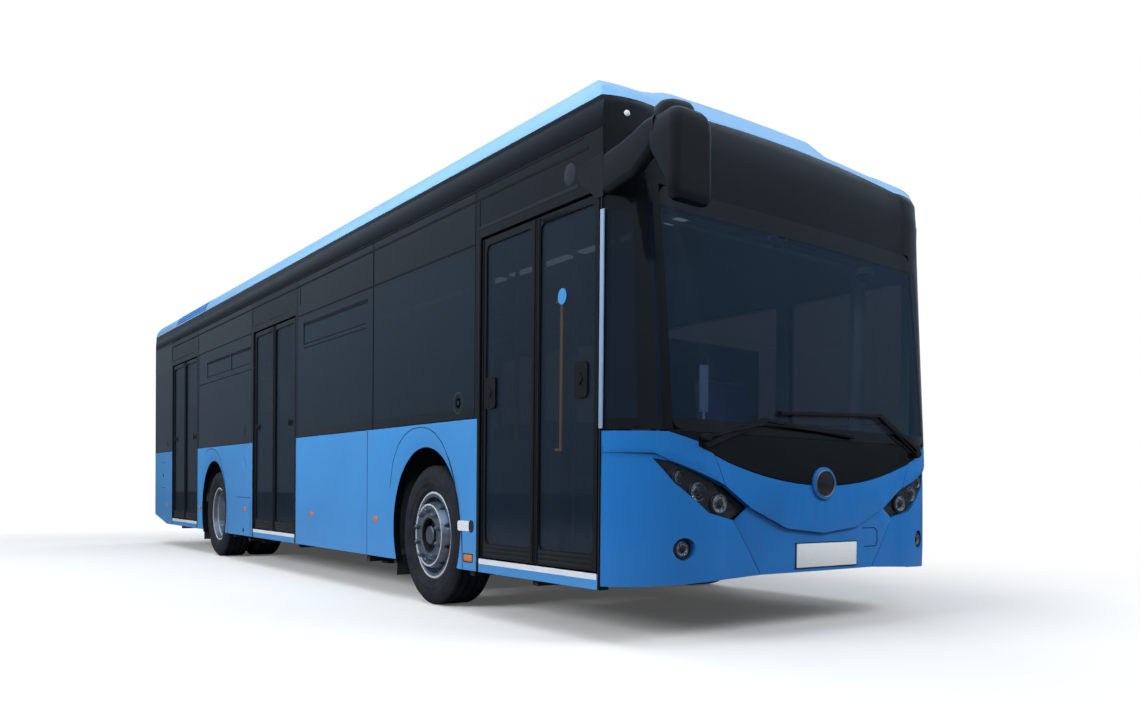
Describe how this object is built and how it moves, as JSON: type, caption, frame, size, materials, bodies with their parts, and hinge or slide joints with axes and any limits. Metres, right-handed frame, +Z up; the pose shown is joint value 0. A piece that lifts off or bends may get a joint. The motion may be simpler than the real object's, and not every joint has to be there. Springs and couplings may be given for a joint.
{
  "type": "low-floor city bus",
  "caption": "Low-floor city bus with inward-gliding double doors on its right side, steered front wheels, twin rear wheels and a glazed hollow cabin.",
  "frame": {"origin": "on the ground under the middle of the overall length, on the centre line", "axes": "+X forward, +Y to the left, +Z up, doors on the -Y side"},
  "size_m": [12.015, 2.55, 3.15],
  "materials": {
    "body_blue": "gloss",
    "body_black": "gloss",
    "glass": "polished",
    "lamp": "gloss",
    "rear_lamp": "gloss",
    "frame_steel": "satin",
    "floor_cover": "matte",
    "tyre": "matte",
    "rim": "polished",
    "door_black": "gloss",
    "post_steel": "brushed",
    "seat": "woven",
    "cab_grey": "matte",
    "rail_yellow": "gloss",
    "black_plastic": "matte",
    "roof_unit": "gloss",
    "rubber": "matte"
  },
  "bodies": {
    "root": {"front_mask": "body_blue", "cowl_panel": "body_black", "front_frame": "body_black", "front_glass": "glass", "headlamps": "lamp", "roof": "body_blue", "side_wall_right": "body_blue", "side_wall_left": "body_blue", "side_glass": "glass", "rear_wall": "body_blue", "rear_glass": "glass", "rear_lamps": "rear_lamp", "floor": "floor_cover", "wheel_boxes": "frame_steel", "chassis_frame": "frame_steel", "front_axle": "frame_steel", "rear_axle": "frame_steel", "air_springs": "rubber", "door_drives": "cab_grey", "passenger_seats": "seat", "cab_partition": "cab_grey", "driver_seat": "seat", "dashboard": "cab_grey", "steering_wheel": "black_plastic", "handrails": "rail_yellow", "mirror": "black_plastic", "wipers": "black_plastic", "roof_equipment": "roof_unit", "traction_motor": "frame_steel", "mud_flaps": "rubber"},
    "front_flap": {"front_flap": "body_blue"},
    "rear_lid": {"rear_lid": "body_blue"},
    "knuckle_left": {"knuckle_left": "frame_steel"},
    "knuckle_right": {"knuckle_right": "frame_steel"},
    "tie_rod": {"tie_rod": "frame_steel"},
    "front_wheel_left": {"front_tyre_left": "tyre", "front_rim_left": "rim"},
    "rear_wheels_left": {"rear_tyres_left": "tyre", "rear_rims_left": "rim"},
    "front_wheel_right": {"front_tyre_right": "tyre", "front_rim_right": "rim"},
    "rear_wheels_right": {"rear_tyres_right": "tyre", "rear_rims_right": "rim"},
    "front_door_rear_leaf": {"front_door_rear_leaf": "door_black"},
    "front_door_rear_post": {"front_door_rear_post": "post_steel"},
    "front_door_front_leaf": {"front_door_front_leaf": "door_black"},
    "front_door_front_post": {"front_door_front_post": "post_steel"},
    "middle_door_rear_leaf": {"middle_door_rear_leaf": "door_black"},
    "middle_door_rear_post": {"middle_door_rear_post": "post_steel"},
    "middle_door_front_leaf": {"middle_door_front_leaf": "door_black"},
    "middle_door_front_post": {"middle_door_front_post": "post_steel"},
    "rear_door_rear_leaf": {"rear_door_rear_leaf": "door_black"},
    "rear_door_rear_post": {"rear_door_rear_post": "post_steel"},
    "rear_door_front_leaf": {"rear_door_front_leaf": "door_black"},
    "rear_door_front_post": {"rear_door_front_post": "post_steel"}
  },
  "joints": [
    {"name": "front_flap_lift", "type": "hinge", "parent": "root", "child": "front_flap", "pos_m": [5.7325, 0, 1.03], "axis": [0, -1, 0], "range_deg": [0, 75]},
    {"name": "rear_lid_lift", "type": "hinge", "parent": "root", "child": "rear_lid", "pos_m": [-5.9795, 0, 1.337], "axis": [0, 1, 0], "range_deg": [0, 80]},
    {"name": "steer_left", "type": "hinge", "parent": "root", "child": "knuckle_left", "pos_m": [3.2125, 0.905, 0.476], "axis": [0, 0, 1], "range_deg": [-45, 45]},
    {"name": "steer_right", "type": "hinge", "parent": "root", "child": "knuckle_right", "pos_m": [3.2125, -0.905, 0.476], "axis": [0, 0, 1], "range_deg": [-45, 45]},
    {"name": "tie_rod_pivot", "type": "hinge", "parent": "knuckle_left", "child": "tie_rod", "pos_m": [3.0325, 0.905, 0.28], "axis": [0, 0, 1], "range_deg": [-45, 45]},
    {"name": "front_roll_left", "type": "hinge", "parent": "knuckle_left", "child": "front_wheel_left", "pos_m": [3.2125, 1.0925, 0.476], "axis": [0, 1, 0], "continuous": true},
    {"name": "rear_roll_left", "type": "hinge", "parent": "root", "child": "rear_wheels_left", "pos_m": [-2.5925, 0.937, 0.476], "axis": [0, 1, 0], "continuous": true},
    {"name": "front_roll_right", "type": "hinge", "parent": "knuckle_right", "child": "front_wheel_right", "pos_m": [3.2125, -1.0925, 0.476], "axis": [0, 1, 0], "continuous": true},
    {"name": "rear_roll_right", "type": "hinge", "parent": "root", "child": "rear_wheels_right", "pos_m": [-2.5925, -0.937, 0.476], "axis": [0, 1, 0], "continuous": true},
    {"name": "front_door_open", "type": "hinge", "parent": "root", "child": "front_door_rear_post", "pos_m": [4.0285, -1.185, 1.3], "axis": [0, 0, 1], "range_deg": [0, 78]},
    {"name": "front_door_rear_leaf_swing", "type": "hinge", "parent": "front_door_rear_post", "child": "front_door_rear_leaf", "pos_m": [4.2985, -1.185, 1.3], "axis": [0, 0, 1], "range_deg": [-156, 0]},
    {"name": "front_door_front_post_turn", "type": "hinge", "parent": "root", "child": "front_door_front_post", "pos_m": [5.4065, -1.185, 1.3], "axis": [0, 0, 1], "range_deg": [-78, 0]},
    {"name": "front_door_front_leaf_swing", "type": "hinge", "parent": "front_door_front_post", "child": "front_door_front_leaf", "pos_m": [5.1365, -1.185, 1.3], "axis": [0, 0, 1], "range_deg": [0, 156]},
    {"name": "middle_door_open", "type": "hinge", "parent": "root", "child": "middle_door_rear_post", "pos_m": [-0.9665, -1.185, 1.3], "axis": [0, 0, 1], "range_deg": [0, 78]},
    {"name": "middle_door_rear_leaf_swing", "type": "hinge", "parent": "middle_door_rear_post", "child": "middle_door_rear_leaf", "pos_m": [-0.6965, -1.185, 1.3], "axis": [0, 0, 1], "range_deg": [-156, 0]},
    {"name": "middle_door_front_post_turn", "type": "hinge", "parent": "root", "child": "middle_door_front_post", "pos_m": [0.4115, -1.185, 1.3], "axis": [0, 0, 1], "range_deg": [-78, 0]},
    {"name": "middle_door_front_leaf_swing", "type": "hinge", "parent": "middle_door_front_post", "child": "middle_door_front_leaf", "pos_m": [0.1415, -1.185, 1.3], "axis": [0, 0, 1], "range_deg": [0, 156]},
    {"name": "rear_door_open", "type": "hinge", "parent": "root", "child": "rear_door_rear_post", "pos_m": [-4.7115, -1.185, 1.3], "axis": [0, 0, 1], "range_deg": [0, 78]},
    {"name": "rear_door_rear_leaf_swing", "type": "hinge", "parent": "rear_door_rear_post", "child": "rear_door_rear_leaf", "pos_m": [-4.4415, -1.185, 1.3], "axis": [0, 0, 1], "range_deg": [-156, 0]},
    {"name": "rear_door_front_post_turn", "type": "hinge", "parent": "root", "child": "rear_door_front_post", "pos_m": [-3.3335, -1.185, 1.3], "axis": [0, 0, 1], "range_deg": [-78, 0]},
    {"name": "rear_door_front_leaf_swing", "type": "hinge", "parent": "rear_door_front_post", "child": "rear_door_front_leaf", "pos_m": [-3.6035, -1.185, 1.3], "axis": [0, 0, 1], "range_deg": [0, 156]}
  ],
  "couplings": [
    {"joint": "steer_right", "follows": "steer_left", "ratio": 1},
    {"joint": "tie_rod_pivot", "follows": "steer_left", "ratio": -1},
    {"joint": "front_door_rear_leaf_swing", "follows": "front_door_open", "ratio": -2},
    {"joint": "front_door_front_post_turn", "follows": "front_door_open", "ratio": -1},
    {"joint": "front_door_front_leaf_swing", "follows": "front_door_open", "ratio": 2},
    {"joint": "middle_door_rear_leaf_swing", "follows": "middle_door_open", "ratio": -2},
    {"joint": "middle_door_front_post_turn", "follows": "middle_door_open", "ratio": -1},
    {"joint": "middle_door_front_leaf_swing", "follows": "middle_door_open", "ratio": 2},
    {"joint": "rear_door_rear_leaf_swing", "follows": "rear_door_open", "ratio": -2},
    {"joint": "rear_door_front_post_turn", "follows": "rear_door_open", "ratio": -1},
    {"joint": "rear_door_front_leaf_swing", "follows": "rear_door_open", "ratio": 2}
  ]
}
